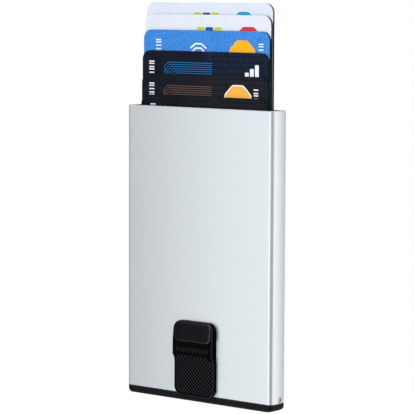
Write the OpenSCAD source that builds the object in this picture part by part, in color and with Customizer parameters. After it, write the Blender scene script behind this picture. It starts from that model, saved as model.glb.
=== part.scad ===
/* [Case] */
// Width of the case
case_w = 63; // [62.5:0.5:70]
// Thickness of the case
case_t = 8.2; // [8.2:0.1:10]
// Height of the case with its bottom cap
case_h = 100.4; // [99:0.1:110]
// Wall thickness of the two broad faces
face_wall = 0.8; // [0.6:0.1:1]
// Wall thickness of the two narrow sides
side_wall = 1.2; // [1:0.1:1.5]
// Radius of the four long edges
edge_r = 1.45; // [1:0.05:1.7]
// Radius of the crown of the narrow sides
crown_r = 16; // [12:1:40]
// Visible height of the bottom cap
cap_h = 2.4; // [2:0.1:4]

/* [Cards] */
// Width of a card
card_w = 53.98; // [53.9:0.01:54.1]
// Height of a card, standing
card_l = 85.6; // [85.5:0.01:85.8]
// Thickness of a card
card_t = 0.76; // [0.68:0.01:0.8]
// Corner radius of a card
card_r = 3.18; // [2.9:0.01:3.5]
// Height of each card above the mouth, front card first
card_rise = [3.7, 10.9, 18.8, 25.9, 31.2, 35.2];
// Sideways rest position of each card, front card first
card_shift = [0.2, -0.2, -0.6, -0.7, -0.7, -0.6];
// Depth of the level cards below the mouth
card_recess = 2.6; // [2:0.1:4]

/* [Thumb tab] */
// Width of the thumb tab
tab_w = 17.3; // [14:0.1:18]
// Height of the thumb tab
tab_h = 26.1; // [25.9:0.1:28]
// Stand-off of the lower thumb pad from the face
pad_out = 1.9; // [1.5:0.1:2.2]
// Largest stand-off of the upper block, at its thumb ledge
block_out = 2.95; // [2.5:0.05:3.3]
// Stand-off of the upper block at its top end
block_top_out = 2.2; // [2:0.05:2.4]
// Upward travel of the tab
tab_travel = 17.5; // [16:0.1:17.5]

/* [Lever] */
// Swing of the lever over the travel, in degrees
swing = 50; // [45:1:52]
// Half height of an arm
arm_r = 2.2; // [1.8:0.1:2.3]
// Radius of the pivot pin
pivot_r = 0.75; // [0.6:0.05:0.9]
// Radius of the drive pin
drive_r = 0.8; // [0.6:0.05:0.9]
// Radial running clearance
run_gap = 0.05; // [0.03:0.01:0.08]

/* [Hidden] */
$fn = 64;

half_w = case_w / 2;
half_t = case_t / 2;
in_w = half_w - side_wall;
in_t = half_t - face_wall;
inner_r = 0.6;
fit_gap = 0.1;
press_gap = 0.02;

// depth layers, counted from the front wall to the rear wall
card_count = len(card_rise);
card_pitch = card_t + 0.07;
rear_pad_t = 0.25;
rear_card_y = in_t - rear_pad_t - 0.05 - card_t / 2;
function card_y(i) = rear_card_y - (card_count - 1 - i) * card_pitch;
plate_t = 0.55;
carriage_front = -in_t + fit_gap;
carriage_back = carriage_front + plate_t;
cam_front = carriage_back + 0.08;
cam_t = 0.5;
front_card_face = card_y(0) - card_t / 2;

// level height of the cards and how far each one is fanned out
home_z = case_h - card_recess - card_l;
function lift(i) = card_rise[i] + card_recess;

// bottom cap
cap_corner = 1.5;
plug_top = 5.2;
plug_gap = 0.15;
cap_pin_r = 0.98;
cap_pin_z = 3.75;
cap_pin_y = 0.3;
cap_pin_in = 3.2;
cap_pin_recess = 0.15;

// lever
pivot_x = -26.8;
rest_gap = 0.6;
top_gap = 0.3;
pivot_z = home_z - rest_gap - arm_r;
arm_t = card_t - 0.06;
function arm_len(i) = (lift(i) + rest_gap - top_gap) / sin(swing);
lever_back = card_y(card_count - 1) + arm_t / 2;
cam_a = tab_travel / tan(swing);
cam_steps = 24;
cam_half = drive_r + 0.08;
cam_wall = 1.4;
cam_top = 4;
cam_start = 10;
cam_reach = tab_travel / sin(swing);
drive_x = pivot_x + cam_a;

// slot and tab
tab_gap = 0.15;
tab_z0 = 2.1;
tab_z1 = tab_z0 + tab_h;
tab_r = 3;
neck_w = 6;
neck_h = 3.6;
neck_z = 5.8;
liner_wall = 0.6;
slot_r = 1;
tab_back = -half_t - tab_gap;
pad_front = -half_t - pad_out;
block_front = -half_t - block_out;
step_z0 = 15.4;
step_z1 = 17.6;
slope_z = 20.9;
slope = atan((block_out - block_top_out) / (tab_z1 - slope_z));
grip_depth = 0.35;
grip_rim = 0.75;
grip_r = 2;
grip_pitch = 1.4;
grip_dot_r = 0.3;
panel_gap = 0.1;
panel_h = 6.7;
panel_rim = 0.75;
panel_r = 1.8;
screw_r = 0.5;
screw_x = 1.7;
screw_z = neck_z + neck_h / 2;
screw_head_r = 0.95;
screw_head_t = 0.25;
screw_in = 1.1;

// carriage and spring
carriage_w = 16;
carriage_z0 = 5.5;
carriage_z1 = 22;
spring_w = 11;
spring_strip = 0.6;
spring_turns = 9;
spring_top = 58;
spring_t = 0.45;

// spacer, rails and pads
rail_x = 27.9;
rail_z0 = 14.5;
rail_top_gap = 3;
spacer_leg_x = 18;
spacer_leg_w = 6;
spacer_bar = 3.5;
spacer_top = 95;
rear_pad_w = 40;
rear_pad_z0 = 52;
rear_pad_z1 = 92;
bracket_w = 4.8;
bracket_top = 12;

// plan outline of the case: flat faces, crowned sides, round long edges
module case_plan() {
    crown_x = half_w - crown_r;
    corner_y = half_t - edge_r;
    corner_x = crown_x + sqrt(pow(crown_r - edge_r, 2) - pow(corner_y, 2));
    crown_y = corner_y * crown_r / (crown_r - edge_r);
    square([2 * corner_x, case_t], center = true);
    for (x = [-1, 1], y = [-1, 1]) translate([x * corner_x, y * corner_y]) circle(edge_r);
    for (x = [-1, 1]) intersection() {
        translate([x * crown_x, 0]) circle(crown_r, $fn = 180);
        translate([x * half_w / 2, 0]) square([half_w, 2 * crown_y], center = true);
    }
}

// plan outline with round corners, centred
module plan(w, t, r) {
    square([w - 2 * r, t], center = true);
    square([w, t - 2 * r], center = true);
    for (x = [-1, 1], y = [-1, 1])
        translate([x * (w / 2 - r), y * (t / 2 - r)]) circle(r);
}

// front outline with round corners, from a corner point
module panel2d(w, h, r) {
    translate([w / 2, h / 2]) plan(w, h, r);
}

// slab drawn in the front view, from y0 backwards by t
module slab(y0, t) {
    translate([0, y0 + t, 0]) rotate([90, 0, 0]) linear_extrude(t) children();
}

// round bar along Y
module bar_y(x, z, y0, y1, r) {
    translate([x, y0, z]) rotate([-90, 0, 0]) cylinder(r = r, h = y1 - y0);
}

// round bar along X
module bar_x(x0, x1, y, z, r) {
    translate([x0, y, z]) rotate([0, 90, 0]) cylinder(r = r, h = x1 - x0);
}

module case_tube() {
    color([0.78, 0.79, 0.80]) difference() {
        translate([0, 0, cap_h]) linear_extrude(case_h - cap_h) difference() {
            case_plan();
            plan(2 * in_w, 2 * in_t, inner_r);
        }
        slab(-half_t - 1, face_wall + 1.5) slot_outline(liner_wall);
        bar_x(-half_w - 1, half_w + 1, cap_pin_y, cap_pin_z, cap_pin_r + press_gap);
        bar_y(pivot_x, pivot_z, half_t - face_wall - 0.5, half_t + 1, pivot_r + press_gap);
    }
}

// slot outline in the front view, grown by a margin
module slot_outline(grow) {
    w = neck_w + 0.4 + 2 * grow;
    h = neck_h + tab_travel + 0.2 + 2 * grow;
    translate([-w / 2, neck_z - 0.1 - grow]) panel2d(w, h, slot_r);
}

module bottom_cap() {
    color([0.10, 0.10, 0.11]) difference() {
        union() {
            intersection() {
                linear_extrude(cap_h) case_plan();
                slab(-half_t - 1, case_t + 2) cap_front();
            }
            linear_extrude(plug_top)
                plan(2 * (in_w - plug_gap), 2 * (in_t - plug_gap), inner_r);
        }
        bar_x(half_w - cap_pin_in - 0.1, half_w + 1, cap_pin_y, cap_pin_z, cap_pin_r + press_gap);
        bar_x(-half_w - 1, -half_w + cap_pin_in + 0.1, cap_pin_y, cap_pin_z, cap_pin_r + press_gap);
    }
}

// front view of the cap, with round lower corners
module cap_front() {
    translate([-half_w + cap_corner, 0]) square([case_w - 2 * cap_corner, cap_h + 1]);
    translate([-half_w, cap_corner]) square([case_w, cap_h + 1 - cap_corner]);
    for (x = [-1, 1])
        translate([x * (half_w - cap_corner), cap_corner]) circle(cap_corner);
}

module cap_pin_left() {
    color([0.62, 0.63, 0.65])
        bar_x(-half_w + cap_pin_recess, -half_w + cap_pin_in, cap_pin_y, cap_pin_z, cap_pin_r);
}

module cap_pin_right() {
    color([0.62, 0.63, 0.65])
        bar_x(half_w - cap_pin_in, half_w - cap_pin_recess, cap_pin_y, cap_pin_z, cap_pin_r);
}

// strip that guides the cards' long edges
module guide_rail() {
    w = in_w - 0.05 - rail_x;
    t = 2 * (in_t - fit_gap);
    translate([rail_x + w / 2, 0, rail_z0])
        linear_extrude(case_h - rail_top_gap - rail_z0) plan(w, t, inner_r);
}

module guide_rail_left() {
    color([0.07, 0.07, 0.08]) mirror([1, 0, 0]) guide_rail();
}

module guide_rail_right() {
    color([0.07, 0.07, 0.08]) guide_rail();
}

module rear_pad() {
    color([0.16, 0.16, 0.17]) slab(in_t - rear_pad_t, rear_pad_t)
        translate([-rear_pad_w / 2, rear_pad_z0])
            panel2d(rear_pad_w, rear_pad_z1 - rear_pad_z0, 2);
}

// spacer in front of the cards, whose cross bar stops the spring
module front_spacer() {
    t = front_card_face - 0.09 + in_t;
    span = 2 * (spacer_leg_x + spacer_leg_w);
    color([0.12, 0.12, 0.13]) slab(-in_t, t) {
        translate([-span / 2, spring_top]) square([span, spacer_bar]);
        for (x = [-spacer_leg_x - spacer_leg_w, spacer_leg_x])
            translate([x, spring_top]) square([spacer_leg_w, spacer_top - spring_top]);
    }
}

module slot_liner() {
    color([0.08, 0.08, 0.09]) slab(-half_t, face_wall) difference() {
        slot_outline(liner_wall - press_gap);
        slot_outline(0);
    }
}

// upright ear that holds the front end of the pivot pin
module pivot_bracket() {
    color([0.14, 0.14, 0.15]) slab(carriage_front, plate_t) difference() {
        translate([pivot_x - bracket_w / 2, plug_top]) union() {
            panel2d(bracket_w, bracket_top - plug_top, 1.5);
            square([bracket_w, 2]);
        }
        translate([pivot_x, pivot_z]) circle(pivot_r + press_gap);
    }
}

module pivot_pin() {
    color([0.66, 0.67, 0.69]) bar_y(pivot_x, pivot_z, carriage_front, half_t, pivot_r);
}

// outline of the tab in the front view
module tab_outline() {
    translate([-tab_w / 2, tab_z0]) panel2d(tab_w, tab_h, tab_r);
}

// side profile of the tab: low pad, slanted step, thumb ledge, then a slope to the top
module tab_profile() {
    rotate([90, 0, 90]) translate([0, 0, -tab_w]) linear_extrude(2 * tab_w) polygon([
        [tab_back, tab_z0], [pad_front, tab_z0], [pad_front, step_z0], [block_front, step_z1],
        [block_front, slope_z], [-half_t - block_top_out, tab_z1], [tab_back, tab_z1]
    ]);
}

// places flat things on the sloping face of the upper block
module on_slope() {
    translate([0, block_front, slope_z]) rotate([-slope, 0, 0]) children();
}

module thumb_tab() {
    color([0.09, 0.09, 0.10]) difference() {
        union() {
            intersection() {
                slab(block_front, tab_back - block_front) tab_outline();
                tab_profile();
            }
            slab(tab_back - panel_gap, carriage_front - tab_back + panel_gap)
                translate([-neck_w / 2, neck_z]) panel2d(neck_w, neck_h, slot_r);
        }
        slab(pad_front - 1, grip_depth + 1) grip_outline(0);
        on_slope() slab(-1, grip_depth + 1) panel_outline(0);
        screw_pair(screw_r + press_gap, carriage_front - screw_in, carriage_front + 1);
    }
}

module grip_outline(inset) {
    w = tab_w - 2 * grip_rim - 2 * inset;
    h = step_z0 - tab_z0 - grip_rim - 2 * inset;
    translate([-w / 2, tab_z0 + grip_rim + inset]) panel2d(w, h, grip_r);
}

// outline of the panel, measured up the slope
module panel_outline(inset) {
    w = tab_w - 2 * panel_rim - 2 * inset;
    translate([-w / 2, inset]) panel2d(w, panel_h - 2 * inset, panel_r);
}

module screw_pair(r, y0, y1) {
    for (x = [-1, 1]) bar_y(x * screw_x, screw_z, y0, y1, r);
}

// rubber pad with staggered dimples
module grip_pad() {
    rows = 9;
    color([0.05, 0.05, 0.05]) difference() {
        slab(pad_front, grip_depth) grip_outline(press_gap);
        for (r = [0:rows - 1], c = [-4.5:4.5]) {
            x = (c + (r % 2) * 0.5) * grip_pitch;
            if (abs(x) < 6.8)
                bar_y(x, tab_z0 + 1.6 + r * grip_pitch, pad_front - 1, pad_front + 0.1, grip_dot_r);
        }
    }
}

module tab_panel() {
    color([0.12, 0.12, 0.13])
        on_slope() slab(-panel_gap, grip_depth + panel_gap) panel_outline(press_gap);
}

// plate behind the slot that carries the drive pin
module carriage() {
    arm_end = drive_x - drive_r - 1;
    arm_half = drive_r + 1;
    color([0.30, 0.31, 0.33]) difference() {
        slab(carriage_front, plate_t) difference() {
            union() {
                translate([-carriage_w / 2, carriage_z0])
                    panel2d(carriage_w, carriage_z1 - carriage_z0, 2);
                translate([drive_x, pivot_z]) circle(arm_half);
                translate([drive_x, pivot_z - arm_half]) square([-drive_x, 2 * arm_half]);
            }
            translate([drive_x, pivot_z]) circle(drive_r + press_gap);
        }
        screw_pair(screw_r + press_gap, carriage_front - 1, carriage_back + 1);
        screw_pair(screw_head_r + press_gap, carriage_back - screw_head_t, carriage_back + 1);
    }
}

module carriage_screws() {
    color([0.70, 0.71, 0.73]) {
        screw_pair(screw_r, carriage_front - screw_in + 0.1, carriage_back - screw_head_t + 0.05);
        screw_pair(screw_head_r, carriage_back - screw_head_t, carriage_back);
    }
}

module drive_pin() {
    color([0.70, 0.71, 0.73]) bar_y(drive_x, pivot_z, carriage_front, cam_front + cam_t - 0.03, drive_r);
}

// flat zigzag spring between the carriage and the spacer
module return_spring() {
    pitch = (spring_top - carriage_z1 - spring_strip) / spring_turns;
    half = spring_w / 2;
    color([0.72, 0.73, 0.75]) slab(carriage_front + 0.05, spring_t) {
        for (i = [0:spring_turns])
            translate([-half, carriage_z1 + i * pitch]) square([spring_w, spring_strip]);
        for (i = [0:spring_turns - 1])
            translate([i % 2 == 0 ? half - spring_strip : -half, carriage_z1 + i * pitch])
                square([spring_strip, pitch + spring_strip]);
    }
}

// centre of the drive pin seen from the turning lever, at a share u of the travel
function cam_point(u) = let (a = swing * u, s = tab_travel * u)
    [cam_a * cos(a) + s * sin(a), s * cos(a) - cam_a * sin(a)];
function cam_normal(u) = let (d = cam_point(u + 0.01) - cam_point(u - 0.01))
    [-d[1], d[0]] / norm(d);

// curved slot in which the drive pin runs
module cam_slot() {
    us = [for (i = [0:cam_steps]) i / cam_steps];
    upper = [for (u = us) cam_point(u) + cam_half * cam_normal(u)];
    lower = [for (i = [cam_steps:-1:0]) cam_point(us[i]) - cam_half * cam_normal(us[i])];
    polygon(concat(upper, lower));
    for (u = [0, 1]) translate(cam_point(u)) circle(cam_half);
}

// one arm seen from the front, as long as its card needs
module arm2d(len) {
    circle(arm_r);
    translate([0, -arm_r]) square([len, 2 * arm_r]);
    translate([len, 0]) circle(arm_r);
}

module fan_lever() {
    plate_end = cam_reach + cam_half + cam_wall;
    color([0.55, 0.56, 0.58]) translate([pivot_x, 0, pivot_z]) difference() {
        union() {
            slab(cam_front, lever_back - cam_front) circle(arm_r);
            slab(cam_front, cam_t) difference() {
                union() {
                    circle(arm_r);
                    translate([0, -arm_r]) square([cam_start + 2, 2 * arm_r]);
                    translate([cam_start, -arm_r])
                        panel2d(plate_end - cam_start, cam_top + arm_r, 2);
                }
                cam_slot();
            }
            for (i = [0:card_count - 1])
                slab(card_y(i) - arm_t / 2, lever_back - card_y(i) + arm_t / 2)
                    arm2d(arm_len(i));
        }
        bar_y(0, 0, cam_front - 1, lever_back + 1, pivot_r + run_gap);
    }
}

// card number i, counted from the front
module card(i) {
    slab(card_y(i) - card_t / 2, card_t)
        translate([card_shift[i] - card_w / 2, home_z + lift(i)])
            panel2d(card_w, card_l, card_r);
}

module card_1() {
    color([0.12, 0.12, 0.14]) card(0);
}

module card_2() {
    color([0.13, 0.12, 0.13]) card(1);
}

module card_3() {
    color([0.11, 0.12, 0.17]) card(2);
}

module card_4() {
    color([0.27, 0.55, 0.85]) card(3);
}

module card_5() {
    color([0.90, 0.93, 0.98]) card(4);
}

module card_6() {
    color([0.89, 0.94, 0.99]) card(5);
}

case_tube();
bottom_cap();
cap_pin_left();
cap_pin_right();
guide_rail_left();
guide_rail_right();
rear_pad();
front_spacer();
slot_liner();
pivot_bracket();
pivot_pin();
thumb_tab();
grip_pad();
tab_panel();
carriage();
carriage_screws();
drive_pin();
return_spring();
fan_lever();
card_1();
card_2();
card_3();
card_4();
card_5();
card_6();
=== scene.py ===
import math

import bmesh
import bpy
from mathutils import Matrix, Vector


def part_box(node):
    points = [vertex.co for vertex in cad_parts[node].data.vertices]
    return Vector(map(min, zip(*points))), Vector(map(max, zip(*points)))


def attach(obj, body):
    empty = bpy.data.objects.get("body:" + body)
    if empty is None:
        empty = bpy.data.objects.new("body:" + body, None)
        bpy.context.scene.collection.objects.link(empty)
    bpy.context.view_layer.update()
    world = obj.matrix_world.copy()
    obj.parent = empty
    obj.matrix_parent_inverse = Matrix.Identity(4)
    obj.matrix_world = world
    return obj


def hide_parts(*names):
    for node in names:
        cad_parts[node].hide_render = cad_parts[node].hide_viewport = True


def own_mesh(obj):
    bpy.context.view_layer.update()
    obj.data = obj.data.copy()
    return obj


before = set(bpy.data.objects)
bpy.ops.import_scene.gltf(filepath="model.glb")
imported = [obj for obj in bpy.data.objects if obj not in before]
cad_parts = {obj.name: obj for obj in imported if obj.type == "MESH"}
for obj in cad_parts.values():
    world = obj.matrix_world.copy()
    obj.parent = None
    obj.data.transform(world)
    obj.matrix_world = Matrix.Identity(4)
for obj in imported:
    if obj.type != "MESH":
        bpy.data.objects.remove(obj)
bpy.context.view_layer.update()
mm = 0.001
past = 1.0                      # mm that a cutter runs on past a surface


# camera

cameraSetup = {
    "target": (0.7, 0.0, 66.6),     # mm
    "aroundRight": 38.09,           # degrees from the front
    "above": 5.82,
    "away": 730.0,                  # mm
    "roll": 0.23,
    "lens": 187.0,
    "sensor": 36.0,
}


def addCamera(setup):
    data = bpy.data.cameras.new("camera")
    data.lens = setup["lens"]
    data.sensor_width = setup["sensor"]
    data.clip_start = 0.05
    data.clip_end = 100.0
    camera = bpy.data.objects.new("camera", data)
    bpy.context.scene.collection.objects.link(camera)
    side = math.radians(setup["aroundRight"])
    lift = math.radians(setup["above"])
    back = Vector((math.sin(side) * math.cos(lift), -math.cos(side) * math.cos(lift), math.sin(lift)))
    camera.location = Vector(setup["target"]) * mm + back * setup["away"] * mm
    facing = (-back).to_track_quat("-Z", "Y").to_matrix()
    camera.rotation_mode = "QUATERNION"
    roll = Matrix.Rotation(math.radians(setup["roll"]), 3, "Z")
    camera.rotation_quaternion = (facing @ roll).to_quaternion()
    bpy.context.scene.camera = camera


addCamera(cameraSetup)


# shader tools

def put(tree, kind, inputs=None, **settings):
    made = tree.nodes.new(kind)
    for key, value in settings.items():
        setattr(made, key, value)
    for key, value in (inputs or {}).items():
        if isinstance(value, bpy.types.NodeSocket):
            tree.links.new(value, made.inputs[key])
        else:
            made.inputs[key].default_value = value
    return made


def tone(red, green, blue):         # screen levels 0 to 255 to a linear colour
    levels = [c / 255 for c in (red, green, blue)]
    linear = [c / 12.92 if c < 0.04045 else ((c + 0.055) / 1.055) ** 2.4 for c in levels]
    return (*linear, 1.0)


def objectSpace(tree, stretch=(1, 1, 1)):
    coords = put(tree, "ShaderNodeTexCoord")
    inputs = {"Vector": coords.outputs["Object"], "Scale": stretch}
    return put(tree, "ShaderNodeMapping", inputs).outputs[0]


def noise(tree, size, detail=2.0, stretch=(1, 1, 1)):
    inputs = {"Vector": objectSpace(tree, stretch), "Scale": 1 / (size * mm), "Detail": detail}
    return put(tree, "ShaderNodeTexNoise", inputs).outputs[0]


def spread(tree, value, low, high, start=0.3, end=0.7):
    inputs = {"Value": value, "From Min": start, "From Max": end, "To Min": low, "To Max": high}
    return put(tree, "ShaderNodeMapRange", inputs).outputs[0]


def mixColors(tree, factor, first, second):
    return put(tree, "ShaderNodeMix", {0: factor, 6: first, 7: second}, data_type="RGBA").outputs[2]


def startMaterial(name):
    material = bpy.data.materials.new(name)
    material.use_nodes = True
    return material, material.node_tree, material.node_tree.nodes["Principled BSDF"]


def bumps(tree, shader, layers):    # layers of (height socket, depth in mm)
    normal = None
    for height, depth in layers:
        inputs = {"Height": height, "Distance": depth * mm, "Strength": 1.0}
        if normal is not None:
            inputs["Normal"] = normal
        normal = put(tree, "ShaderNodeBump", inputs).outputs[0]
    tree.links.new(normal, shader.inputs["Normal"])


def makeFinish(name, look, color=None):
    material, tree, shader = startMaterial(name)
    if color is None:
        patches = spread(tree, noise(tree, look["patch"], 3.0), 0.0, 1.0)
        color = mixColors(tree, patches, look["dark"], look["light"])
    else:
        color = color(tree)
    tree.links.new(color, shader.inputs["Base Color"])
    low, high = look["rough"]
    tree.links.new(spread(tree, noise(tree, look["smear"], 4.0), low, high), shader.inputs["Roughness"])
    shader.inputs["Metallic"].default_value = look.get("metal", 0.0)
    shader.inputs["Specular IOR Level"].default_value = look.get("specular", 0.5)
    layers = [(noise(tree, look["grain"], 2.0), look["grainDepth"])]
    if "brush" in look:
        layers.append((noise(tree, look["brushSize"], 3.0, look["brush"]), look["brushDepth"]))
    bumps(tree, shader, layers)
    return material


# mesh tools

def arc(cx, cy, radius, start, end, steps):
    angles = [math.radians(start + (end - start) * i / steps) for i in range(steps + 1)]
    return [(cx + radius * math.cos(a), cy + radius * math.sin(a)) for a in angles]


def circle(cx, cy, radius, steps):
    return arc(cx, cy, radius, 0, 360 - 360 / steps, steps - 1)


def quarterTurn(steps):
    return [math.pi / 2 * i / steps for i in range(steps + 1)]


def roundRect(cx, cy, width, height, radius, steps=8):
    points = []
    for quarter, (sideX, sideY) in enumerate([(1, -1), (1, 1), (-1, 1), (-1, -1)]):
        cornerX = cx + sideX * (width / 2 - radius)
        cornerY = cy + sideY * (height / 2 - radius)
        points += arc(cornerX, cornerY, radius, 90 * quarter - 90, 90 * quarter, steps)
    return points


def inMetres(points):
    return [(a * mm, b * mm) for a, b in points]


def lying(points, z):
    return [(x, y, z) for x, y in points]


def standing(points, y):
    return [(x, y, z) for x, z in points]


def facingSide(points, x):
    return [(x, y, z) for y, z in points]


def loft(rings, bm=None, material=0, highlightBands=()):     # the bands it lists get the second material, the lighter edge colour that is a painted highlight
    bm = bm or bmesh.new()
    rows = [[bm.verts.new(point) for point in ring] for ring in rings]
    for row in (rows[0], rows[-1]):
        bm.faces.new(row).material_index = material
    for band, (first, second) in enumerate(zip(rows, rows[1:])):
        for i in range(len(first)):
            j = (i + 1) % len(first)
            face = bm.faces.new((first[i], first[j], second[j], second[i]))
            face.material_index = 1 if band in highlightBands else material
    return bm


def addPiece(name, bm, *materials):
    bmesh.ops.recalc_face_normals(bm, faces=bm.faces[:])
    mesh = bpy.data.meshes.new(name)
    bm.to_mesh(mesh)
    bm.free()
    for material in materials:
        mesh.materials.append(material)
    piece = bpy.data.objects.new(name, mesh)
    bpy.context.scene.collection.objects.link(piece)
    return piece


def applyModifiers(piece):
    bpy.context.view_layer.update()
    graph = bpy.context.evaluated_depsgraph_get()
    mesh = bpy.data.meshes.new_from_object(piece.evaluated_get(graph))
    piece.modifiers.clear()
    piece.data = mesh


def combine(piece, other, operation="DIFFERENCE"):
    modifier = piece.modifiers.new("combine", "BOOLEAN")
    modifier.operation = operation
    modifier.solver = "EXACT"
    modifier.object = other
    applyModifiers(piece)
    bpy.data.objects.remove(other)


def softenEdges(piece, width, segments, angle, material):
    modifier = piece.modifiers.new("soften", "BEVEL")
    modifier.width = width * mm
    modifier.segments = segments
    modifier.limit_method = "ANGLE"
    modifier.angle_limit = math.radians(angle)
    modifier.use_clamp_overlap = False
    modifier.material = material
    applyModifiers(piece)


def settle(piece, body, slotName, *nodes, angle=32):
    piece.data.shade_smooth()
    piece.data.set_sharp_from_angle(angle=math.radians(angle))
    modifier = piece.modifiers.new("evenNormals", "WEIGHTED_NORMAL")
    modifier.keep_sharp = True
    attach(piece, body)
    if nodes:
        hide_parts(*nodes)
    return piece


# case shell

shellLook = {
    "edgeRadius": 1.45,
    "crownRadius": 16.0,
    "chamfer": 0.22,
    "mouthChamfer": 0.12,
    "wallFace": 0.8,
    "wallSide": 1.2,
    "innerRadius": 0.6,
    "slot": (7.6, 22.5, 5.1, 1.0),      # width, height, bottom and corner radius
    "pinHole": (0.3, 3.75, 1.0),        # y, z and radius
    "pivotHole": (-26.8, 9.4, 0.77),    # x, z and radius
    "wallReach": 2.8,                   # y that is inside the hollow, for the holes through one wall
}
anodised = {
    "light": tone(200, 206, 210),
    "dark": tone(193, 199, 203),
    "patch": 0.5,
    "rough": (0.3, 0.36),
    "smear": 0.9,
    "metal": 0.42,
    "specular": 0.4,
    "grain": 0.16,
    "grainDepth": 0.0035,
    "brush": (1, 1, 0.02),
    "brushSize": 0.9,
    "brushDepth": 0.0016,
}
tubeInside = {
    "light": tone(46, 45, 44),
    "dark": tone(32, 31, 30),
    "patch": 1.5,
    "rough": (0.5, 0.62),
    "smear": 1.0,
    "specular": 0.1,
    "grain": 0.2,
    "grainDepth": 0.004,
    "brush": (1, 1, 0.02),
    "brushSize": 0.4,
    "brushDepth": 0.002,
}
cutEdge = {
    "light": tone(246, 247, 249),
    "dark": tone(238, 240, 243),
    "patch": 3.0,
    "rough": (0.2, 0.3),
    "smear": 1.0,
    "metal": 1.0,
    "grain": 0.1,
    "grainDepth": 0.001,
}
tubeLow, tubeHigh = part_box("case_tube")
halfWidth = tubeHigh.x / mm
halfDepth = tubeHigh.y / mm
caseBottom = tubeLow.z / mm
caseTop = tubeHigh.z / mm


def caseOutline(inset):
    edge = shellLook["edgeRadius"]
    crown = shellLook["crownRadius"]
    cornerY = halfDepth - edge
    lean = math.degrees(math.asin(cornerY / (crown - edge)))
    crownX = halfWidth - crown
    cornerX = crownX + math.sqrt((crown - edge) ** 2 - cornerY ** 2)
    right = arc(cornerX, -cornerY, edge - inset, -90, -lean, 14)
    right += arc(crownX, 0, crown - inset, -lean, lean, 12)[1:-1]
    right += arc(cornerX, cornerY, edge - inset, lean, 90, 14)
    return inMetres(right + [(-x, -y) for x, y in right])


def innerOutline(grow):
    width = 2 * (halfWidth - shellLook["wallSide"] + grow)
    depth = 2 * (halfDepth - shellLook["wallFace"] + grow)
    return inMetres(roundRect(0, 0, width, depth, shellLook["innerRadius"] + grow, 6))


def pinHole(x0, x1):            # cutter for the cap pins' holes
    y, z, radius = shellLook["pinHole"]
    outline = inMetres(circle(y, z, radius, 40))
    return addPiece("cutter", loft([facingSide(outline, x * mm) for x in (x0, x1)]))


def buildShell():
    look = shellLook
    chamfer = look["chamfer"]
    levels = [(caseBottom, chamfer), (caseBottom + chamfer, 0),
              (caseTop - chamfer, 0), (caseTop, chamfer)]
    materials = [makeFinish("anodised_aluminium", anodised), makeFinish("cut_edge_aluminium", cutEdge),
                 makeFinish("tube_inside", tubeInside)]
    shell = addPiece("case_shell", loft([lying(caseOutline(i), z * mm) for z, i in levels]), *materials)
    mouth = look["mouthChamfer"]
    levels = [(caseBottom - past, 0), (caseTop - mouth, 0), (caseTop + past / 2, mouth + past / 2)]
    combine(shell, addPiece("cutter", loft([lying(innerOutline(g), z * mm) for z, g in levels])))
    reach = look["wallReach"]
    width, height, bottom, radius = look["slot"]
    slotShape = inMetres(roundRect(0, bottom + height / 2, width, height, radius))
    slotEnds = (-halfDepth - past, -reach)
    combine(shell, addPiece("cutter", loft([standing(slotShape, y * mm) for y in slotEnds])))
    combine(shell, pinHole(-halfWidth - past, halfWidth + past))
    x, z, radius = look["pivotHole"]
    hole = inMetres(circle(x, z, radius, 40))
    holeEnds = (reach, halfDepth + past)
    combine(shell, addPiece("cutter", loft([standing(hole, y * mm) for y in holeEnds])))
    nearWall = 0.05
    wallX = (halfWidth - look["wallSide"] + nearWall) * mm
    wallY = (halfDepth - look["wallFace"] + nearWall) * mm
    for face in shell.data.polygons:
        slant = abs(face.normal.z)
        if 0.3 < slant < 0.95:          # the chamfers at both ends
            face.material_index = 1
        elif abs(face.center.x) < wallX and abs(face.center.y) < wallY and slant < 0.3:
            face.material_index = 2
    return settle(shell, "case", "anodised", "case_tube")


buildShell()
print("case shell built")


# bottom cap and its pins

capLook = {
    "lowerCorner": 1.5,
    "soften": 0.4,
    "lip": 0.15,
    "plugTop": 5.2,
    "plugGap": 0.15,
    "pinLength": 3.2,
    "cornerSteps": 12,
    "lipSteps": 3,
}
pinShape = {
    "steps": 36,
    # distance in from the outer end in mm, and share of the radius there
    "profile": ((0.22, 1.0), (0.05, 0.9), (0.02, 0.62), (0.12, 0.5), (0.14, 0.2)),
}
capPlastic = {
    "light": tone(20, 20, 23),
    "dark": tone(13, 13, 16),
    "patch": 2.0,
    "rough": (0.42, 0.55),
    "smear": 1.2,
    "specular": 0.06,
    "grain": 0.12,
    "grainDepth": 0.006,
}
# lighter, glossier copy of the cap plastic for the rounded foot and the lip: a painted highlight on the
# edges
capEdgeHighlight = {
    "light": tone(30, 31, 34),
    "dark": tone(18, 19, 21),
    "patch": 1.0,
    "rough": (0.3, 0.4),
    "smear": 0.8,
    "specular": 0.25,
    "grain": 0.15,
    "grainDepth": 0.003,
}
pinSteel = {
    "light": tone(182, 184, 182),
    "dark": tone(140, 142, 140),
    "patch": 0.6,
    "rough": (0.24, 0.34),
    "smear": 0.4,
    "metal": 1.0,
    "grain": 0.08,
    "grainDepth": 0.002,
}


def capRing(z, inset):          # the case outline, its ends drawn in where the lower corners curve
    corner = capLook["lowerCorner"]
    drop = max(corner - z, 0)
    shift = max(corner - math.sqrt(corner ** 2 - drop ** 2) - inset, 0) * mm
    return [(x - math.copysign(shift, x), y, z * mm) for x, y in caseOutline(inset)]


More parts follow.
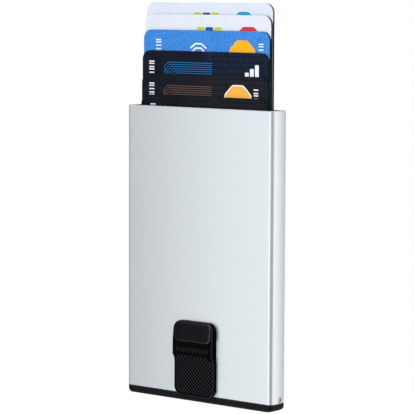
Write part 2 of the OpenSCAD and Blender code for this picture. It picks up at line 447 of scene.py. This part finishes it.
def buildCap():
    look = capLook
    soft = look["soften"]
    lip = look["lip"]
    heights = [look["lowerCorner"] * (1 - math.cos(angle)) for angle in quarterTurn(look["cornerSteps"])]
    rings = []
    for z in heights:
        drop = max(soft - z, 0)
        rings.append(capRing(z, soft - math.sqrt(soft ** 2 - drop ** 2)))
    for angle in quarterTurn(look["lipSteps"]):
        rings.append(capRing(caseBottom - lip * (1 - math.sin(angle)), lip * (1 - math.cos(angle))))
    foot = range(sum(z < soft for z in heights))
    rim = range(len(heights), len(rings))
    materials = [makeFinish("cap_plastic", capPlastic), makeFinish("cap_edge_painted_highlight", capEdgeHighlight)]
    # the foot and lip bands take the lighter edge colour, a painted highlight
    cap = addPiece("base_cap", loft(rings, highlightBands=(*foot, *rim)), *materials)
    plug = [lying(innerOutline(-look["plugGap"]), z * mm) for z in (caseBottom - past / 2, look["plugTop"])]
    combine(cap, addPiece("cutter", loft(plug)), "UNION")
    inner = halfWidth - look["pinLength"]
    outer = halfWidth + past
    for ends in ((-outer, -inner), (inner, outer)):
        combine(cap, pinHole(*ends))
    return settle(cap, "case", "cap_black", "bottom_cap")


def buildPin(node, material):
    low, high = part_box(node)
    side = 1 if high.x > 0 else -1
    inner, outer = sorted((low.x, high.x), key=abs)
    y = (low.y + high.y) / 2
    z = (low.z + high.z) / 2
    radius = (high.z - low.z) / 2
    profile = [(inner, 1.0)]
    profile += [(outer - side * depth * mm, share) for depth, share in pinShape["profile"]]
    rings = [facingSide(circle(y, z, radius * share, pinShape["steps"]), x) for x, share in profile]
    pin = addPiece(node + "_turned", loft(rings), material)
    return settle(pin, "case", "pin_steel", node)


buildCap()
pinMaterial = makeFinish("pin_steel", pinSteel)
for nodeName in ("cap_pin_left", "cap_pin_right"):
    buildPin(nodeName, pinMaterial)
print("bottom cap and pins built")


# cards

cardShape = {
    "corner": 3.18,
    "rim": 0.05,
    "ink": 0.012,
    "sunk": 0.004,
    "inkStep": 0.6,                         # how much higher each layer of ink stands, as a share
    "chip": (0.0, 68.0, 12.2, 11.4),        # across, down, width and height
    "stripe": (-20.85, -8.15, 0.2, 0.2),    # dark band on the back: left, right, gaps above and below
    "signing": (-2.0, 8.0, 12.0, 14.0),     # signing strip, the same
}
lattice = {
    "width": 0.95,
    "height": 1.9,
    "gap": 0.3,
    "fade": 3.0,                # mm over which it comes in, across the card
}


def speckled(light, dark, size):
    def colorOf(tree):
        return mixColors(tree, spread(tree, noise(tree, size, 2.0), 0.0, 1.0), dark, light)
    return colorOf


def latticed(light, dark, marks, startX):
    def colorOf(tree):
        base = mixColors(tree, spread(tree, noise(tree, 6.0, 3.0), 0.0, 1.0), dark, light)
        parts = put(tree, "ShaderNodeSeparateXYZ", {0: objectSpace(tree)}).outputs
        flat = put(tree, "ShaderNodeCombineXYZ", {0: parts[0], 1: parts[2]}).outputs[0]
        bricks = put(tree, "ShaderNodeTexBrick", {
            "Vector": flat,
            "Color1": (1, 1, 1, 1),
            "Color2": (0.35, 0.35, 0.35, 1),
            "Mortar": (0, 0, 0, 1),
            "Scale": 1 / mm,
            "Mortar Size": lattice["gap"],
            "Mortar Smooth": 0.4,
            "Brick Width": lattice["width"],
            "Row Height": lattice["height"],
        }).outputs[0]
        level = put(tree, "ShaderNodeRGBToBW", {0: bricks}).outputs[0]
        side = spread(tree, parts[0], 0.0, 1.0, startX * mm, (startX + lattice["fade"]) * mm)
        amount = put(tree, "ShaderNodeMath", {0: level, 1: side}, operation="MULTIPLY").outputs[0]
        return mixColors(tree, amount, base, marks)
    return colorOf


printed = {
    "patch": 0.25,
    "rough": (0.32, 0.44),
    "smear": 2.0,
    "specular": 0.035,
    "grain": 0.4,
    "grainDepth": 0.0008,
}
# dark colour of the card edges and side rims: partly the card's core, partly painted shade between the
# stacked cards
cardEdgeCoreAndShade = {
    "light": tone(15, 34, 31),
    "dark": tone(6, 20, 18),
    "patch": 0.5,
    "rough": (0.45, 0.6),
    "smear": 0.4,
    "specular": 0.01,
    "grain": 0.08,
    "grainDepth": 0.002,
}


def makeInk(name, red, green, blue, **changes):
    light = tone(red, green, blue)
    dark = tone(red * 0.96, green * 0.96, blue * 0.96)
    return makeFinish("ink_" + name, {**printed, "light": light, "dark": dark, **changes})


inks = {
    "white": makeInk("white", 240, 246, 252),
    "orange": makeInk("orange", 252, 180, 76),
    "amber": makeInk("amber", 252, 184, 36),
    "red": makeInk("red", 216, 62, 68),
    "cyan": makeInk("cyan", 40, 160, 222),
    "blue": makeInk("blue", 34, 92, 178),
    "lineBlue": makeInk("line_blue", 30, 112, 176),
    "lineBrown": makeInk("line_brown", 104, 80, 68),
    "lime": makeInk("lime", 208, 212, 52),
    "gold": makeInk("contact_gold", 214, 176, 96, metal=1.0, rough=(0.25, 0.35)),
    "band": makeInk("dark_band", 26, 24, 24, rough=(0.3, 0.36)),
    "cream": makeInk("signing_strip", 232, 232, 224, rough=(0.6, 0.7)),
}


def octagon(u, v, radius, rounding=1.8):      # flat side up, radius is to its flat sides
    points = []
    reach = (radius - rounding) / math.cos(math.pi / 8)
    for i in range(8):
        angle = 45 * i + 22.5
        cx = u + reach * math.cos(math.radians(angle))
        cy = v + reach * math.sin(math.radians(angle))
        points += arc(cx, cy, rounding, angle - 22.5, angle + 22.5, 4)
    return points


def bar(u0, u1, v0, v1, radius):
    return roundRect((u0 + u1) / 2, (v0 + v1) / 2, u1 - u0, v1 - v0, radius, 3)


def stroke(points, width):
    left, right = [], []
    for i, (u, v) in enumerate(points):
        before = Vector(points[max(i - 1, 0)])
        after = Vector(points[min(i + 1, len(points) - 1)])
        here = Vector((u, v))
        ways = [w.normalized() for w in (here - before, after - here) if w.length > 0]
        along = (ways[0] + ways[-1]).normalized()
        across = Vector((-along.y, along.x)) * (width / 2 / max(0.5, along.dot(ways[0])))
        left.append(tuple(here + across))
        right.append(tuple(here - across))
    return left + right[::-1]


def chevron(u0, u1, v, drop, width):
    middle = (u0 + u1) / 2
    return stroke([(u0, v + drop), (middle - 1.2, v), (middle + 1.2, v), (u1, v + drop)], width)


nestedLines = {
    "count": 9,
    "pitch": 0.72,
    "left": -17.2,
    "right": 3.5,
    "chamfer": 1.5,
    "foot": 9.0,                # where the upright parts end, below the first line
    "width": 0.24,
}


def lineArt(ink, top):          # plain lines, one inside another, each with its corner cut off
    look = nestedLines
    cut = look["chamfer"]
    marks = []
    for i in range(look["count"]):
        u = look["left"] + i * look["pitch"]
        v = top + i * look["pitch"]
        line = [(u, look["foot"] + top), (u, v + cut), (u + cut, v), (look["right"], v)]
        marks.append((ink, stroke(line, look["width"]), 0))
    return marks


def barRow(inkNames, u, width, pitch, tops, foot, rounding):      # bars side by side, each with its own top
    marks = []
    for i, (ink, top) in enumerate(zip(inkNames, tops)):
        left = u + i * pitch
        marks.append((ink, bar(left, left + width, top, foot, rounding), 0))
    return marks


sideStroke = {"thick": 0.42, "gap": 0.36, "rounding": 0.1}


def sideMarks(ink, u0, u1, v, groups):      # groups of short strokes across, one after another
    look = sideStroke
    marks = []
    for count in groups:
        for i in range(count):
            marks.append((ink, bar(u0, u1, v, v + look["thick"], look["rounding"]), 0))
            v += look["thick"] + look["gap"]
        v += look["gap"]
    return marks


cardDesigns = {
    "card_6": {
        "slot": "card_white",
        "color": speckled(tone(221, 229, 243), tone(216, 225, 241), 5.0),
        "marks": [
            *barRow(("lime", "blue", "lime"), -6.4, 3.3, 3.696, (3.3, 3.3, 3.3), 10.0, 0.5),
            ("cyan", octagon(14.8, 8.0, 5.1), 0),
        ],
    },
    "card_5": {
        "slot": "card_pale",
        "color": speckled(tone(225, 232, 242), tone(220, 228, 240), 5.0),
        "marks": [
            *barRow(("lime", "blue", "lime"), -4.4, 3.3, 3.696, (4.15, 4.15, 4.15), 10.95, 0.5),
            ("red", octagon(17.5, 9.5, 5.65), 0),
        ],
    },
    "card_4": {
        "slot": "card_blue",
        "color": speckled(tone(84, 156, 230), tone(32, 110, 202), 0.34),
        "marks": [
            ("white", chevron(-6.5, 0.4, 4.5, 1.5, 0.55), 0),
            ("white", chevron(-5.6, -0.5, 6.0, 1.2, 0.55), 0),
            ("white", chevron(-4.7, -1.4, 7.5, 0.9, 0.5), 0),
            ("amber", octagon(15.6, 8.5, 5.45), 0),
            *sideMarks("white", -21.6, -19.2, 3.2, (2, 1, 2, 2, 1)),
            *sideMarks("white", 22.4, 24.4, 4.0, (2, 1, 2)),
        ],
    },
    "card_3": {
        "slot": "card_navy",
        "color": latticed(tone(25, 28, 40), tone(16, 20, 31), tone(22, 44, 78), -2),
        "marks": [
            *lineArt("lineBlue", 3.9),
            *sideMarks("white", -24.0, -21.7, 3.5, (2, 2, 1, 2)),
            *barRow(("white", "white", "white"), 17.3, 1.6, 2.08, (6.6, 5.3, 4.0), 10.0, 0.3),
        ],
    },
    "card_2": {
        "slot": "card_brown",
        "color": latticed(tone(25, 28, 36), tone(17, 20, 28), tone(40, 40, 46), -2),
        "marks": [
            *lineArt("lineBrown", 3.9),
            *sideMarks("white", -23.7, -21.4, 3.1, (2, 1, 2)),
            *sideMarks("white", 21.2, 23.1, 4.1, (1, 2, 2)),
            ("white", octagon(14.6, 8.6, 5.7), 0),
            ("orange", octagon(14.6, 8.6, 5.3), 1),
        ],
    },
    "card_1": {
        "slot": "card_black",
        "color": latticed(tone(24, 26, 34), tone(16, 18, 24), tone(36, 36, 42), -8),
        "marks": [
            *sideMarks("white", -22.8, -20.6, 3.0, (2, 1, 2)),
            *lineArt("lineBrown", 6.9),
            ("white", octagon(14.8, 11.0, 5.6), 0),
            ("orange", octagon(14.8, 11.0, 5.2), 1),
        ],
    },
}


def chipPads(ink):
    u, v, width, height = cardShape["chip"]
    top = v - height / 2
    row = height / 4
    padHalf = width * 0.18
    spineHalf = width * 0.12
    gap = 0.12
    pads = []
    for side in (-1, 1):
        middle = u + side * width / 3.2
        for i in range(4):
            start = top + i * row
            pad = bar(middle - padHalf, middle + padHalf, start + gap, start + row - gap, 0.4)
            pads.append((ink, pad, 0))
    pads.append((ink, bar(u - spineHalf, u + spineHalf, top, top + height, 0.5), 0))
    return pads


def cardBody(low, high):        # outlines from one face to the other, the edges rounded over
    rim = cardShape["rim"]
    corner = cardShape["corner"]
    width = (high.x - low.x) / mm
    height = (high.z - low.z) / mm
    middleX = (low.x + high.x) / 2
    front = low.y / mm
    back = high.y / mm
    part = rim * 0.3
    rings = []
    for inset, y in ((rim, front), (part, front + part), (0, front + rim),
                     (0, back - rim), (part, back - part), (rim, back)):
        shape = roundRect(0, height / 2, width - 2 * inset, height - 2 * inset, corner - inset, 10)
        rings.append([(middleX + x * mm, y * mm, low.z + z * mm) for x, z in shape])
    bm = loft(rings)
    bmesh.ops.recalc_face_normals(bm, faces=bm.faces[:])
    for face in bm.faces:
        across, through = abs(face.normal.x), abs(face.normal.y)
        # side faces and side rims take the dark edge colour, which is partly painted shade
        face.material_index = 1 if across > 0.2 or through < 0.3 else 0
    return bm


def buildCard(node, design, edgeCoreAndShade):
    look = cardShape
    low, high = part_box(node)
    middleX = (low.x + high.x) / 2
    height = (high.z - low.z) / mm
    bm = cardBody(low, high)
    inkNames = []

    def stamp(ink, shape, layer, front=True):
        if ink not in inkNames:
            inkNames.append(ink)
        side = -1 if front else 1
        surface = low.y if front else high.y
        thick = look["ink"] * (1 + look["inkStep"] * layer)
        place = [(middleX + u * mm, high.z - v * mm) for u, v in shape]
        ends = (surface - side * look["sunk"] * mm, surface + side * thick * mm)
        loft([standing(place, y) for y in ends], bm, 2 + inkNames.index(ink))

    for ink, shape, layer in design["marks"] + chipPads("gold"):
        stamp(ink, shape, layer)
    for ink, band, rounding in (("band", "stripe", 0.05), ("cream", "signing", 0.2)):
        left, right, above, below = look[band]
        stamp(ink, bar(left, right, above, height - below, rounding), 0, False)
    printedFace = makeFinish(node + "_face", printed, design["color"])
    card = addPiece(node + "_printed", bm, printedFace, edgeCoreAndShade, *[inks[ink] for ink in inkNames])
    return settle(card, node, design["slot"], node)


cardEdgeMaterial = makeFinish("card_edge_core_and_shade", cardEdgeCoreAndShade)
for nodeName, cardDesign in cardDesigns.items():
    buildCard(nodeName, cardDesign, cardEdgeMaterial)
print("six cards built")


# thumb tab

tabShape = {
    "corner": 3.0,
    "shift": -0.08,             # middle of the tab, across
    "width": 17.14,
    "topDrop": 0.3,             # top edge below the frame's block
    "back": 0.15,               # gap to the case face
    "pad": 1.9,                 # stand-off of the lower pad
    "ledge": 2.95,              # stand-off at the thumb ledge
    "topEnd": 2.2,              # stand-off at the top end
    "stepStart": 14.2,
    "stepEnd": 16.6,
    "slopeStart": 20.9,
    "slopeBend": 1.6,           # length of the bend into the slope
    "soften": 0.3,
    "neck": (6.0, 3.6, 5.8, 1.0),       # width, height, bottom and corner radius
    "neckSunk": 0.4,            # how far the neck reaches into the tab
    "gripRim": 0.72,
    "gripDepth": 0.35,
    "gripCorner": 2.2,
    "gripTop": 1.95,            # how far the grip climbs past the start of the step
    "panel": (15.4, 6.6, 1.9),          # width, height and corner radius
    "panelGap": 0.22,
    "panelTaper": 0.08,         # how much its recess narrows to the floor
    "panelProud": 0.08,
    "panelSunk": 0.12,          # where its rounded rim starts, below the slope
    "panelFloor": 0.3,
    "panelRim": 0.6,
}
tabPlastic = {
    "light": tone(8, 8, 10),
    "dark": tone(4, 4, 6),
    "patch": 1.5,
    "rough": (0.4, 0.52),
    "smear": 1.0,
    "specular": 0.012,
    "grain": 0.1,
    "grainDepth": 0.005,
}
# lighter, glossier copy of the tab plastic for the softened edges and the panel rim: a painted highlight
tabEdgeHighlight = {
    "light": tone(20, 21, 24),
    "dark": tone(10, 10, 12),
    "patch": 0.7,
    "rough": (0.14, 0.22),
    "smear": 0.6,
    "specular": 0.22,
    "grain": 0.12,
    "grainDepth": 0.002,
}
gripRubber = {
    "light": tone(54, 56, 59),
    "dark": tone(42, 44, 47),
    "patch": 0.3,
    "rough": (0.5, 0.62),
    "smear": 0.5,
    "specular": 0.06,
    "grain": 0.07,
    "grainDepth": 0.006,
}
# near-black copy of the grip rubber for the pits and their walls: painted shade in the pits, against the
# lighter lands
gripPitShade = {
    "light": tone(4, 4, 5),
    "dark": tone(2, 2, 3),
    "patch": 0.3,
    "rough": (0.7, 0.85),
    "smear": 0.3,
    "specular": 0.02,
    "grain": 0.07,
    "grainDepth": 0.004,
}
panelPlastic = {
    "light": tone(15, 15, 18),
    "dark": tone(9, 9, 12),
    "patch": 1.2,
    "rough": (0.32, 0.42),
    "smear": 0.9,
    "specular": 0.05,
    "grain": 0.09,
    "grainDepth": 0.004,
}
tabLow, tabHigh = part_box("thumb_tab")
tabWidth = tabShape["width"]
tabBottom = tabLow.z / mm
tabTop = tabHigh.z / mm - tabShape["topDrop"]


def frontAt(z):                 # y of the tab's front surface at a height, below the slope
    look = tabShape
    share = min(max((z - look["stepStart"]) / (look["stepEnd"] - look["stepStart"]), 0), 1)
    eased = share * share * (3 - 2 * share)
    return -halfDepth - look["pad"] - (look["ledge"] - look["pad"]) * eased


def slopeRise():                # how much the front draws in for each mm up the slope
    look = tabShape
    return (look["ledge"] - look["topEnd"]) / (tabTop - look["slopeStart"])


def tabProfile():
    look = tabShape
    slope = slopeRise()
    step = look["stepEnd"] - look["stepStart"]
    heights = [look["stepStart"] + step * i / 14 for i in range(15)]
    front = [(frontAt(z), z) for z in [tabBottom - past] + heights]
    bend = look["slopeBend"]
    for i in range(5):
        rise = bend * i / 4
        z = look["slopeStart"] - bend / 2 + rise
        front.append((frontAt(z) + rise ** 2 / (2 * bend) * slope, z))
    back = -halfDepth - look["back"]
    front.append((-halfDepth - look["topEnd"] + slope * past, tabTop + past))
    return front + [(back, tabTop + past), (back, tabBottom - past)]


def tabBlock():
    profile = inMetres(tabProfile())
    return loft([facingSide(profile, x * mm) for x in (-tabWidth, tabWidth)])


def onSlope(u, up, out):        # a point of the sloping face: across, up it and out of it, in mm
    look = tabShape
    slope = math.atan(slopeRise())
    y = -halfDepth - look["ledge"] + up * math.sin(slope) - out * math.cos(slope)
    z = look["slopeStart"] + up * math.cos(slope) + out * math.sin(slope)
    return ((look["shift"] + u) * mm, y * mm, z * mm)


def panelRing(grow, out):
    width, height, radius = tabShape["panel"]
    shape = roundRect(0, height / 2, width + 2 * grow, height + 2 * grow, max(radius + grow, 0.4), 10)
    return [onSlope(u, up, out) for u, up in shape]


def gripOutline(grow):
    look = tabShape
    width = tabWidth - 2 * look["gripRim"] + 2 * grow
    low = tabBottom + look["gripRim"] - grow
    high = look["stepStart"] + look["gripTop"] + grow
    corner = look["gripCorner"] + grow
    return inMetres(roundRect(look["shift"], (low + high) / 2, width, high - low, corner, 8))


def buildTab():
    look = tabShape
    front = -halfDepth - look["ledge"] - past
    back = -halfDepth - look["back"]
    middle = (tabBottom + tabTop) / 2
    outline = inMetres(roundRect(look["shift"], middle, tabWidth, tabTop - tabBottom, look["corner"], 12))
    materials = [makeFinish("tab_plastic", tabPlastic), makeFinish("tab_edge_painted_highlight", tabEdgeHighlight)]
    tab = addPiece("thumb_tab_body", loft([standing(outline, y * mm) for y in (front, back)]), *materials)
    combine(tab, addPiece("cutter", tabBlock()), "INTERSECT")
    # the softened edges take the second material, the painted highlight
    softenEdges(tab, look["soften"], 4, 40, 1)
    width, height, bottom, radius = look["neck"]
    neck = inMetres(roundRect(0, bottom + height / 2, width, height, radius))
    neckEnds = ((back - look["neckSunk"]) * mm, tabHigh.y)
    combine(tab, addPiece("cutter", loft([standing(neck, y) for y in neckEnds])), "UNION")
    gripGap = 0.05
    gripFloor = -halfDepth - look["pad"] + look["gripDepth"]
    recess = loft([standing(gripOutline(gripGap), y * mm) for y in (front, gripFloor)])
    combine(tab, addPiece("cutter", recess))
    gap = look["panelGap"]
    recess = loft([panelRing(gap, past), panelRing(gap - look["panelTaper"], -look["panelFloor"])])
    combine(tab, addPiece("cutter", recess))
    return settle(tab, "slider", "tab_black", "thumb_tab")


def buildPanel(highlightPlastic):
    look = tabShape
    sunk = look["panelSunk"]
    proud = look["panelProud"]
    rings = [panelRing(-0.02, -look["panelFloor"])]
    for angle in quarterTurn(6):
        inset = look["panelRim"] * (1 - math.cos(angle))
        rings.append(panelRing(-inset, -sunk + (proud + sunk) * math.sin(angle)))
    for inset, crown in ((1.5, 0.06), (2.6, 0.09)):
        rings.append(panelRing(-inset, proud + crown))
    # the rounded rim bands take the tab's lighter edge colour, a painted highlight
    panel = addPiece("tab_cushion_panel", loft(rings, highlightBands=range(2, 6)),
                     makeFinish("panel_plastic", panelPlastic), highlightPlastic)
    return settle(panel, "slider", "panel_black", "tab_panel", angle=60)


gripPattern = {
    "pitch": 1.41,
    "pit": 0.49,
    "pitFloor": 0.44,
    "deep": 0.24,
    "past": 0.2,                # how far past the rim the pits go on
}


def gripPits():                 # staggered rows of tapered pits, within the outline of the field
    look = tabShape
    pattern = gripPattern
    halfField = tabWidth / 2 - look["gripRim"] + pattern["past"]
    low = tabBottom + look["gripRim"] - pattern["past"]
    high = look["stepStart"] + look["gripTop"] + pattern["past"]
    bend = look["gripCorner"] + pattern["past"]
    half = pattern["pitch"] / 2
    count = int(halfField / pattern["pitch"]) + 1
    bm = bmesh.new()
    for row in range(int((high - low) / half + 0.01) + 1):
        z = low + row * half
        front = frontAt(z)
        for column in range(-count, count + 1):
            x = (2 * column + row % 2) * half
            away = math.hypot(max(abs(x) - halfField + bend, 0), max(low + bend - z, z - high + bend, 0))
            if abs(x) > halfField or away > bend:
                continue
            rings = []
            for y, radius in ((front - 0.6, pattern["pit"]), (front + 0.02, pattern["pit"]),
                              (front + pattern["deep"], pattern["pitFloor"])):
                rings.append(standing(inMetres(circle(look["shift"] + x, z, radius, 16)), y * mm))
            # the pit walls and floors take the second material, the painted shade
            loft(rings, bm, 1)
    return bm


def buildGrip():
    look = tabShape
    floor = -halfDepth - look["pad"] + look["gripDepth"]
    materials = [makeFinish("grip_rubber", gripRubber), makeFinish("grip_pit_painted_shade", gripPitShade)]
    pad = [standing(gripOutline(-0.02), y * mm) for y in (floor - look["ledge"], floor)]
    grip = addPiece("grip_pad_dimpled", loft(pad), *materials)
    combine(grip, addPiece("cutter", tabBlock()), "INTERSECT")
    combine(grip, addPiece("cutter", gripPits(), *materials))
    return settle(grip, "slider", "grip_rubber", "grip_pad")


ribRow = {
    "count": 14,
    "width": 0.5,
    "gap": 0.5,
    "low": 17.3,
    "high": 19.0,
    "proud": 0.07,
    "sunk": 0.05,
    "inset": 0.06,
}
# the tab plastic, made lighter and glossier for the ribs: a painted highlight on them
ribHighlightPlastic = {
    **tabPlastic,
    "light": tone(20, 21, 24),
    "dark": tone(12, 13, 15),
    "patch": 0.4,
    "specular": 0.1,
}


def buildRibs(material):
    look = ribRow
    width = look["width"]
    tall = look["high"] - look["low"]
    middle = (look["low"] + look["high"]) / 2
    ledge = -halfDepth - tabShape["ledge"]
    bm = bmesh.new()
    for i in range(look["count"]):
        x = tabShape["shift"] + (i - (look["count"] - 1) / 2) * (width + look["gap"])
        rings = []
        for inset, out in ((0, -look["sunk"]), (0, look["proud"] / 2), (look["inset"], look["proud"])):
            shape = roundRect(x, middle, width - 2 * inset, tall - 2 * inset, width / 2 - inset, 4)
            rings.append(standing(inMetres(shape), (ledge - out) * mm))
        loft(rings, bm)
    bmesh.ops.remove_doubles(bm, verts=bm.verts[:], dist=1e-7)      # the round ends meet in one point
    ribs = addPiece("tab_ledge_ribs", bm, material)
    return settle(ribs, "slider", "tab_black")


tabPiece = buildTab()
tabPiece.visible_glossy = False         # the frosted metal hardly mirrors it
buildPanel(tabPiece.data.materials[1])
buildGrip()
buildRibs(makeFinish("rib_plastic_painted_highlight", ribHighlightPlastic))
print("thumb tab built")


# return spring behind the front face

springShape = {
    "turns": 9,
    "strip": 0.6,
    "bend": 1.4,
}
springSteel = {
    "light": tone(190, 192, 196),
    "dark": tone(158, 160, 166),
    "patch": 2.0,
    "rough": (0.25, 0.36),
    "smear": 1.0,
    "metal": 1.0,
    "grain": 0.12,
    "grainDepth": 0.001,
    "brush": (1, 1, 0.05),
    "brushSize": 0.2,
    "brushDepth": 0.0008,
}


def buildSpring():
    look = springShape
    low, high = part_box("return_spring")
    halfSpan = high.x / mm - look["strip"] / 2
    bottom = low.z / mm + look["strip"] / 2
    pitch = (high.z / mm - look["strip"] / 2 - bottom) / look["turns"]
    bend = min(look["bend"], pitch / 2 - 0.05)
    path = [(-halfSpan, bottom)]
    for turn in range(look["turns"]):
        side = 1 if turn % 2 == 0 else -1
        z = bottom + turn * pitch
        for lift, start, end in ((bend, -90, 0), (pitch - bend, 0, 90)):
            for px, pz in arc(halfSpan - bend, z + lift, bend, start, end, 6):
                path.append((side * px, pz))
    path.append((halfSpan if look["turns"] % 2 == 0 else -halfSpan, bottom + look["turns"] * pitch))
    ribbon = inMetres(stroke(path, look["strip"]))
    spring = addPiece("return_spring_wound", loft([standing(ribbon, low.y), standing(ribbon, high.y)]),
                      makeFinish("spring_steel", springSteel))
    settle(spring, "case", "spring_steel", "return_spring")
    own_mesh(spring)


buildSpring()
print("spring built")


# finishes of the frame's own parts

innerLooks = {
    "rail": {
        "light": tone(30, 31, 33), "dark": tone(21, 22, 24), "patch": 2.0, "rough": (0.4, 0.5),
        "smear": 1.5, "specular": 0.4, "grain": 0.15, "grainDepth": 0.004,
        "brush": (1, 1, 0.05), "brushSize": 0.3, "brushDepth": 0.003,
    },
    "felt": {
        "light": tone(64, 65, 68), "dark": tone(38, 39, 42), "patch": 0.4, "rough": (0.9, 1.0),
        "smear": 0.6, "specular": 0.1, "grain": 0.09, "grainDepth": 0.05,
    },
    "spacer": {
        "light": tone(40, 41, 43), "dark": tone(30, 31, 33), "patch": 1.5, "rough": (0.5, 0.62),
        "smear": 1.0, "specular": 0.35, "grain": 0.12, "grainDepth": 0.005,
    },
    "steel": {
        "light": tone(158, 160, 164), "dark": tone(128, 130, 135), "patch": 1.5, "rough": (0.3, 0.42),
        "smear": 0.8, "metal": 1.0, "grain": 0.1, "grainDepth": 0.002,
        "brush": (0.03, 1, 1), "brushSize": 0.15, "brushDepth": 0.0015,
    },
    "lever": {
        "light": tone(150, 152, 155), "dark": tone(132, 134, 138), "patch": 1.5, "rough": (0.45, 0.55),
        "smear": 1.0, "specular": 0.4, "grain": 0.12, "grainDepth": 0.004,
    },
}
innerParts = {
    "guide_rail_left": "rail",
    "guide_rail_right": "rail",
    "slot_liner": "rail",
    "rear_pad": "felt",
    "front_spacer": "spacer",
    "pivot_bracket": "spacer",
    "pivot_pin": "steel",
    "drive_pin": "steel",
    "carriage": "steel",
    "carriage_screws": "steel",
    "fan_lever": "lever",
}
innerMaterials = {name: makeFinish("inner_" + name, look) for name, look in innerLooks.items()}
for nodeName, lookName in innerParts.items():
    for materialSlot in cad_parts[nodeName].material_slots:
        materialSlot.material = innerMaterials[lookName]
print("frame parts finished")


# floor, world and lights

studio = {
    "floorSize": 200.0,
    # brightness seen in each direction round the wallet: degrees from +X and level
    "ring": ((-180, 0.5), (-155, 0.06), (-130, 0.02), (-113, 0.1), (-108, 7.0), (-103, 7.0), (-97, 1.0),
             (-62, 0.4), (-40, 0.18), (-8, 0.25), (12, 2.0), (30, 2.7), (48, 1.8), (66, 0.85), (90, 0.4),
             (180, 0.5)),
    "overhead": 0.8,
    "overheadFrom": (0.35, 0.95),       # it takes over between these heights of the direction
    "aim": (0.0, 0.0, 0.07),
}


def addFloor():
    half = studio["floorSize"] / 2
    corners = [(-half, -half, 0), (half, -half, 0), (half, half, 0), (-half, half, 0)]
    bm = bmesh.new()
    bm.faces.new([bm.verts.new(corner) for corner in corners])
    material = bpy.data.materials.new("pale_floor")
    material.use_nodes = True
    tree = material.node_tree
    tree.nodes.clear()
    glow = put(tree, "ShaderNodeEmission", {"Color": (1, 1, 1, 1), "Strength": 1.0})
    put(tree, "ShaderNodeOutputMaterial", {"Surface": glow.outputs[0]})
    floor = addPiece("floor", bm, material)
    floor.visible_glossy = False
    floor.visible_diffuse = False


def addWorld():
    world = bpy.data.worlds.new("studio")
    world.use_nodes = True
    bpy.context.scene.world = world
    tree = world.node_tree
    tree.nodes.clear()
    direction = put(tree, "ShaderNodeTexCoord").outputs["Generated"]
    parts = put(tree, "ShaderNodeSeparateXYZ", {0: direction}).outputs
    angle = put(tree, "ShaderNodeMath", {0: parts[1], 1: parts[0]}, operation="ARCTAN2").outputs[0]
    turn = spread(tree, angle, 0.0, 1.0, -math.pi, math.pi)
    ramp = put(tree, "ShaderNodeValToRGB", {"Fac": turn})
    stops = ramp.color_ramp.elements
    while len(stops) > 1:
        stops.remove(stops[0])
    peak = max(level for degrees, level in studio["ring"])
    for i, (degrees, level) in enumerate(studio["ring"]):
        stop = stops[0] if i == 0 else stops.new((degrees + 180) / 360)
        stop.position = (degrees + 180) / 360
        stop.color = (level / peak, level / peak, level / peak, 1)
    top = (studio["overhead"] / peak,) * 3 + (1,)
    height = spread(tree, parts[2], 0.0, 1.0, *studio["overheadFrom"])
    shade = mixColors(tree, height, ramp.outputs[0], top)
    soft = put(tree, "ShaderNodeBackground", {"Color": shade, "Strength": peak}).outputs[0]
    white = put(tree, "ShaderNodeBackground", {"Color": (1, 1, 1, 1), "Strength": 1.0}).outputs[0]
    seen = put(tree, "ShaderNodeLightPath").outputs["Is Camera Ray"]
    both = put(tree, "ShaderNodeMixShader", {0: seen, 1: soft, 2: white}).outputs[0]
    put(tree, "ShaderNodeOutputWorld", {"Surface": both})


def addSoftbox(name, place, size, power):
    data = bpy.data.lights.new(name, "AREA")
    data.shape = "SQUARE"
    data.size = size
    data.energy = power
    box = bpy.data.objects.new(name, data)
    bpy.context.scene.collection.objects.link(box)
    box.location = place
    aim = Vector(studio["aim"]) - Vector(place)
    box.rotation_euler = aim.to_track_quat("-Z", "Y").to_euler()
    box.visible_camera = False
    return box


addFloor()
addWorld()
addSoftbox("front_softbox", (-0.25, -0.9, 0.55), 0.7, 3.5).visible_glossy = False
addSoftbox("right_fill", (0.2, -0.2, 0.08), 0.12, 0.12).visible_glossy = False
nearStrip = addSoftbox("near_strip", (-0.103, -0.198, 0.045), 0.1, 0.3)
nearStrip.visible_diffuse = False
nearStrip.data.shape = "RECTANGLE"
nearStrip.data.size_y = 0.5
bpy.context.scene.view_settings.view_transform = "Standard"
print("studio ready")
